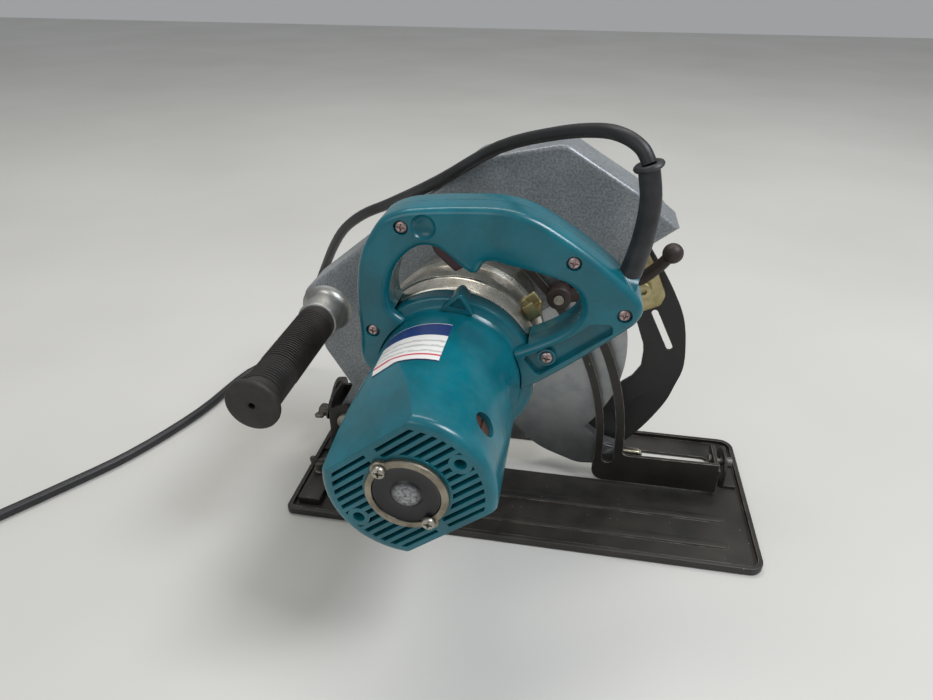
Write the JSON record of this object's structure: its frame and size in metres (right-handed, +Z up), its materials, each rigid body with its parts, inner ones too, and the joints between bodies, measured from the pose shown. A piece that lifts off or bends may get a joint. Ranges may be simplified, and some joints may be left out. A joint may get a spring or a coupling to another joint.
{
  "type": "circular saw",
  "caption": "Corded hand-held circular saw on a tilting base plate, with D-handle, swinging lower guard, riving knife and side grip.",
  "frame": {"origin": "on the sole plane, in the middle of the wide strip of the base plate, under the motor side", "axes": "+Z up, -X the cutting direction, +X the rear, -Y the motor side, +Y the blade side"},
  "size_m": [0.798, 0.4324, 0.3363],
  "materials": {
    "armature_core": "ground",
    "armature_shaft": "ground",
    "base_plate": "semi-gloss black paint, worn edges",
    "bearing_cap": "semi-gloss black paint, worn edges",
    "bevel_bracket": "semi-gloss black paint, worn edges",
    "bevel_quadrant": "semi-gloss black paint, worn edges",
    "bevel_wing_bolt": "zinc plated",
    "blade_bolt": "zinc plated",
    "blade_case": "hammered paint on cast aluminium",
    "brush_1": "matte carbon",
    "brush_2": "matte carbon",
    "brush_cap_1": "matte",
    "brush_cap_2": "matte",
    "clamp_bolt": "zinc plated",
    "clamp_lever": "semi-gloss black paint, worn edges",
    "commutator": "turned copper",
    "cooling_fan": "matte",
    "cord_coil": "matte",
    "cord_guard": "matte",
    "depth_guide": "semi-gloss black paint, worn edges",
    "depth_pivot_pin": "zinc plated",
    "fence_clamp": "semi-gloss black paint, worn edges",
    "fence_wing_bolt": "zinc plated",
    "front_bearing": "ground",
    "gear_housing": "polished casting",
    "grip_stud": "zinc plated",
    "guard_knob": "yellow passivated",
    "guard_spring": "ground",
    "handle_far": "glossy moulded",
    "handle_near": "glossy moulded",
    "handle_screw_1": "zinc plated",
    "handle_screw_2": "zinc plated",
    "handle_screw_3": "zinc plated",
    "handle_screw_4": "zinc plated",
    "handle_screw_5": "zinc plated",
    "knife_bolt": "yellow passivated",
    "knife_bracket": "yellow passivated",
    "large_gear": "ground",
    "lower_guard": "zinc plated",
    "motor_housing": "glossy moulded",
    "outer_flange": "zinc plated",
    "plug": "matte",
    "power_cord": "matte",
    "rear_bearing": "ground",
    "rear_bevel_bracket": "semi-gloss black paint, worn edges",
    "rear_bevel_pin": "yellow passivated",
    "retainer_ring": "zinc plated",
    "retainer_screw_1": "zinc plated",
    "retainer_screw_2": "zinc plated",
    "riving_knife": "semi-gloss black paint, worn edges",
    "saw_blade": "ground",
    "shaft_lock": "yellow passivated",
    "side_grip": "matte",
    "spindle": "ground",
    "spindle_bearing": "ground",
    "stator": "ground",
    "switch": "matte",
    "trigger": "satin",
    "trigger_pin": "ground"
  },
  "bodies": {
    "base": {"base_plate": "base_plate", "bevel_quadrant": "bevel_quadrant", "rear_bevel_bracket": "rear_bevel_bracket", "fence_clamp": "fence_clamp", "power_cord": "power_cord", "cord_coil": "cord_coil", "plug": "plug"},
    "fence_bolt": {"fence_wing_bolt": "fence_wing_bolt"},
    "bevel_frame": {"bevel_bracket": "bevel_bracket", "depth_guide": "depth_guide", "rear_bevel_pin": "rear_bevel_pin", "depth_pivot_pin": "depth_pivot_pin"},
    "bevel_bolt": {"bevel_wing_bolt": "bevel_wing_bolt"},
    "saw_body": {"blade_case": "blade_case", "gear_housing": "gear_housing", "motor_housing": "motor_housing", "retainer_ring": "retainer_ring", "bearing_cap": "bearing_cap", "retainer_screw_1": "retainer_screw_1", "retainer_screw_2": "retainer_screw_2", "brush_cap_1": "brush_cap_1", "brush_cap_2": "brush_cap_2", "brush_1": "brush_1", "brush_2": "brush_2", "stator": "stator", "rear_bearing": "rear_bearing", "front_bearing": "front_bearing", "spindle_bearing": "spindle_bearing", "handle_near": "handle_near", "handle_far": "handle_far", "handle_screw_1": "handle_screw_1", "handle_screw_2": "handle_screw_2", "handle_screw_3": "handle_screw_3", "handle_screw_4": "handle_screw_4", "handle_screw_5": "handle_screw_5", "trigger_pin": "trigger_pin", "switch": "switch", "cord_guard": "cord_guard", "side_grip": "side_grip", "grip_stud": "grip_stud", "clamp_bolt": "clamp_bolt", "knife_bracket": "knife_bracket", "knife_bolt": "knife_bolt", "guard_spring": "guard_spring"},
    "armature": {"armature_shaft": "armature_shaft", "armature_core": "armature_core", "commutator": "commutator", "cooling_fan": "cooling_fan"},
    "spindle": {"spindle": "spindle", "large_gear": "large_gear", "saw_blade": "saw_blade", "outer_flange": "outer_flange", "blade_bolt": "blade_bolt"},
    "guard": {"lower_guard": "lower_guard", "guard_knob": "guard_knob"},
    "trigger": {"trigger": "trigger"},
    "shaft_lock": {"shaft_lock": "shaft_lock"},
    "clamp_lever": {"clamp_lever": "clamp_lever"},
    "riving_knife": {"riving_knife": "riving_knife"}
  },
  "joints": [
    {"name": "bevel_tilt", "type": "hinge", "parent": "base", "child": "bevel_frame", "pos_m": [0, 0.055, 0.002], "axis": [-1, 0, 0], "range_deg": [0, 45], "deforming": ["power_cord"]},
    {"name": "cutting_depth", "type": "hinge", "parent": "bevel_frame", "child": "saw_body", "pos_m": [-0.171, 0.062, 0.0395], "axis": [0, 1, 0], "range_deg": [0, 37.5]},
    {"name": "blade_spin", "type": "hinge", "parent": "saw_body", "child": "spindle", "pos_m": [-0.04303, 0.062, 0.13412], "axis": [0, 1, 0], "continuous": true},
    {"name": "motor_spin", "type": "hinge", "parent": "saw_body", "child": "armature", "pos_m": [-0.05073, -0.09, 0.16906], "axis": [0, 1, 0], "continuous": true},
    {"name": "lower_guard_swing", "type": "hinge", "parent": "saw_body", "child": "guard", "pos_m": [-0.04303, 0.062, 0.13412], "axis": [0, -1, 0], "range_deg": [-70, 32], "stiffness_Nm_per_rad": 0.6},
    {"name": "trigger_pull", "type": "hinge", "parent": "saw_body", "child": "trigger", "pos_m": [-0.06307, -0.048, 0.27487], "axis": [0, -1, 0], "range_deg": [0, 12], "stiffness_Nm_per_rad": 0.8, "springref_deg": -2.86},
    {"name": "shaft_lock_press", "type": "slide", "parent": "saw_body", "child": "shaft_lock", "axis": [-0.7771, 0, -0.6293], "range_m": [0, 0.0025], "stiffness_N_per_m": 1200, "springref_m": -0.001},
    {"name": "clamp_lever_turn", "type": "hinge", "parent": "saw_body", "child": "clamp_lever", "pos_m": [0.0194, 0.028, 0.19368], "axis": [0, -1, 0], "range_deg": [0, 35]},
    {"name": "riving_knife_adjust", "type": "slide", "parent": "saw_body", "child": "riving_knife", "axis": [0.4647, 0, -0.8855], "range_m": [0, 0.0035]},
    {"name": "bevel_bolt_turn", "type": "hinge", "parent": "bevel_frame", "child": "bevel_bolt", "pos_m": [-0.19, 0.052, 0.038], "axis": [1, 0, 0], "continuous": true},
    {"name": "fence_bolt_turn", "type": "hinge", "parent": "base", "child": "fence_bolt", "pos_m": [-0.185, 0, 0.01], "axis": [0, 0, 1], "continuous": true}
  ],
  "couplings": [
    {"joint": "motor_spin", "follows": "blade_spin", "ratio": -3.9091}
  ]
}
